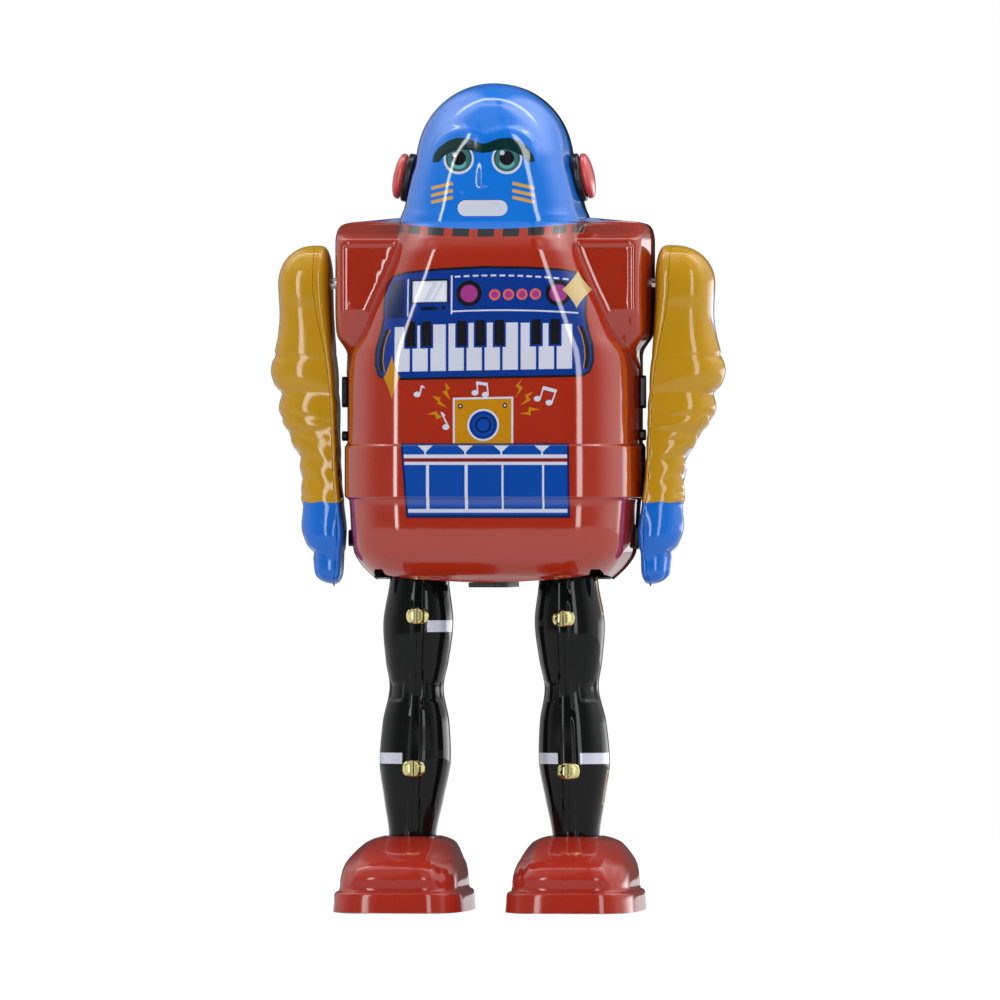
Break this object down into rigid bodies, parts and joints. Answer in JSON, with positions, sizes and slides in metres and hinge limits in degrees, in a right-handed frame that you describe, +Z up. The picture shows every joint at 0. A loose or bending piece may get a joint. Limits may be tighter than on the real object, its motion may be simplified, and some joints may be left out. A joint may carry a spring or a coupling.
{
  "type": "wind-up tin robot",
  "caption": "Standing wind-up tin robot: printed pressed-tin head and body around a clockwork motor, swinging arms and legs, winding key at the back.",
  "frame": {"origin": "on the floor between the feet, under the middle of the object's box", "axes": "+Z up, the robot faces -Y, its own left is +X"},
  "size_m": [0.0822, 0.058, 0.15],
  "materials": {
    "red_tin": "gloss printed tin, red with a blue head and printed artwork",
    "dark_tin": "gloss printed tin, near black",
    "shoe_tin": "gloss red lacquer on tin",
    "mustard_tin": "gloss mustard lacquer on tin, blue hand",
    "black_tin": "gloss black lacquer on tin with white stripes",
    "ear_black": "satin black",
    "ear_red": "gloss red",
    "plated_steel": "nickel plated",
    "zinc_steel": "plain zinc plated sheet",
    "spring_steel": "blued spring strip",
    "brass": "stamped brass",
    "nylon": "natural nylon"
  },
  "bodies": {
    "torso": {"front_shell": "red_tin", "back_shell": "dark_tin", "bottom_strap": "dark_tin", "left_ear_pad": "ear_black", "left_ear_cap": "ear_red", "right_ear_pad": "ear_black", "right_ear_cap": "ear_red", "motor_front_plate": "zinc_steel", "motor_back_plate": "zinc_steel", "motor_pillar_1": "zinc_steel", "motor_pillar_2": "zinc_steel", "motor_pillar_3": "zinc_steel", "motor_pillar_4": "zinc_steel", "leg_frame": "zinc_steel", "hip_axle": "plated_steel", "crown_post": "plated_steel", "key_bush": "brass", "mainspring": "spring_steel"},
    "key": {"key_arbor": "plated_steel", "great_wheel": "brass", "winding_key": "plated_steel"},
    "crown": {"crown_wheel": "brass"},
    "governor": {"governor_wheel": "brass"},
    "fan": {"governor_fan": "plated_steel"},
    "crank": {"crankshaft": "plated_steel", "crank_pinion": "plated_steel", "left_crank": "zinc_steel", "right_crank": "zinc_steel"},
    "left_leg": {"left_leg_outer": "black_tin", "left_leg_inner": "black_tin", "left_leg_bracket": "zinc_steel", "left_foot_upper": "shoe_tin", "left_foot_sole": "zinc_steel", "left_roller_pin": "plated_steel"},
    "left_arm": {"left_arm_outer": "mustard_tin", "left_arm_inner": "mustard_tin", "left_arm_axle": "plated_steel", "left_arm_lever": "zinc_steel", "left_arm_collar": "zinc_steel"},
    "left_roller": {"left_foot_roller": "nylon"},
    "right_leg": {"right_leg_outer": "black_tin", "right_leg_inner": "black_tin", "right_leg_bracket": "zinc_steel", "right_foot_upper": "shoe_tin", "right_foot_sole": "zinc_steel", "right_roller_pin": "plated_steel"},
    "right_arm": {"right_arm_outer": "mustard_tin", "right_arm_inner": "mustard_tin", "right_arm_axle": "plated_steel", "right_arm_lever": "zinc_steel", "right_arm_collar": "zinc_steel"},
    "right_roller": {"right_foot_roller": "nylon"}
  },
  "joints": [
    {"name": "key_turn", "type": "hinge", "parent": "torso", "child": "key", "pos_m": [0, 0, 0.101], "axis": [0, 1, 0], "continuous": true},
    {"name": "crown_spin", "type": "hinge", "parent": "torso", "child": "crown", "pos_m": [0, 0, 0.0889], "axis": [0, 1, 0], "continuous": true},
    {"name": "governor_spin", "type": "hinge", "parent": "torso", "child": "governor", "pos_m": [0, 0, 0.11305], "axis": [0, 1, 0], "continuous": true},
    {"name": "fan_spin", "type": "hinge", "parent": "torso", "child": "fan", "pos_m": [0.0065, 0, 0.1178], "axis": [0, 1, 0], "continuous": true},
    {"name": "crank_spin", "type": "hinge", "parent": "torso", "child": "crank", "pos_m": [0, 0, 0.0889], "axis": [1, 0, 0], "continuous": true},
    {"name": "left_leg_swing", "type": "hinge", "parent": "torso", "child": "left_leg", "pos_m": [0, 0, 0.066], "axis": [1, 0, 0], "range_deg": [-10, 10]},
    {"name": "right_leg_swing", "type": "hinge", "parent": "torso", "child": "right_leg", "pos_m": [0, 0, 0.066], "axis": [1, 0, 0], "range_deg": [-10, 10]},
    {"name": "left_arm_swing", "type": "hinge", "parent": "torso", "child": "left_arm", "pos_m": [0, 0, 0.1137], "axis": [1, 0, 0], "range_deg": [-19, 19]},
    {"name": "right_arm_swing", "type": "hinge", "parent": "torso", "child": "right_arm", "pos_m": [0, 0, 0.1137], "axis": [1, 0, 0], "range_deg": [-19, 19]},
    {"name": "left_roller_spin", "type": "hinge", "parent": "left_leg", "child": "left_roller", "pos_m": [0.0156, -0.012, 0.00355], "axis": [1, 0, 0], "continuous": true},
    {"name": "right_roller_spin", "type": "hinge", "parent": "right_leg", "child": "right_roller", "pos_m": [-0.0156, -0.012, 0.00355], "axis": [1, 0, 0], "continuous": true}
  ],
  "couplings": [
    {"joint": "key_turn", "follows": "crank_spin", "ratio": 0.05},
    {"joint": "crown_spin", "follows": "crank_spin", "ratio": -0.25},
    {"joint": "governor_spin", "follows": "crank_spin", "ratio": -0.25},
    {"joint": "fan_spin", "follows": "crank_spin", "ratio": 0.75},
    {"joint": "right_leg_swing", "follows": "left_leg_swing", "ratio": -1},
    {"joint": "left_arm_swing", "follows": "left_leg_swing", "ratio": -1.86},
    {"joint": "right_arm_swing", "follows": "left_leg_swing", "ratio": 1.86}
  ]
}
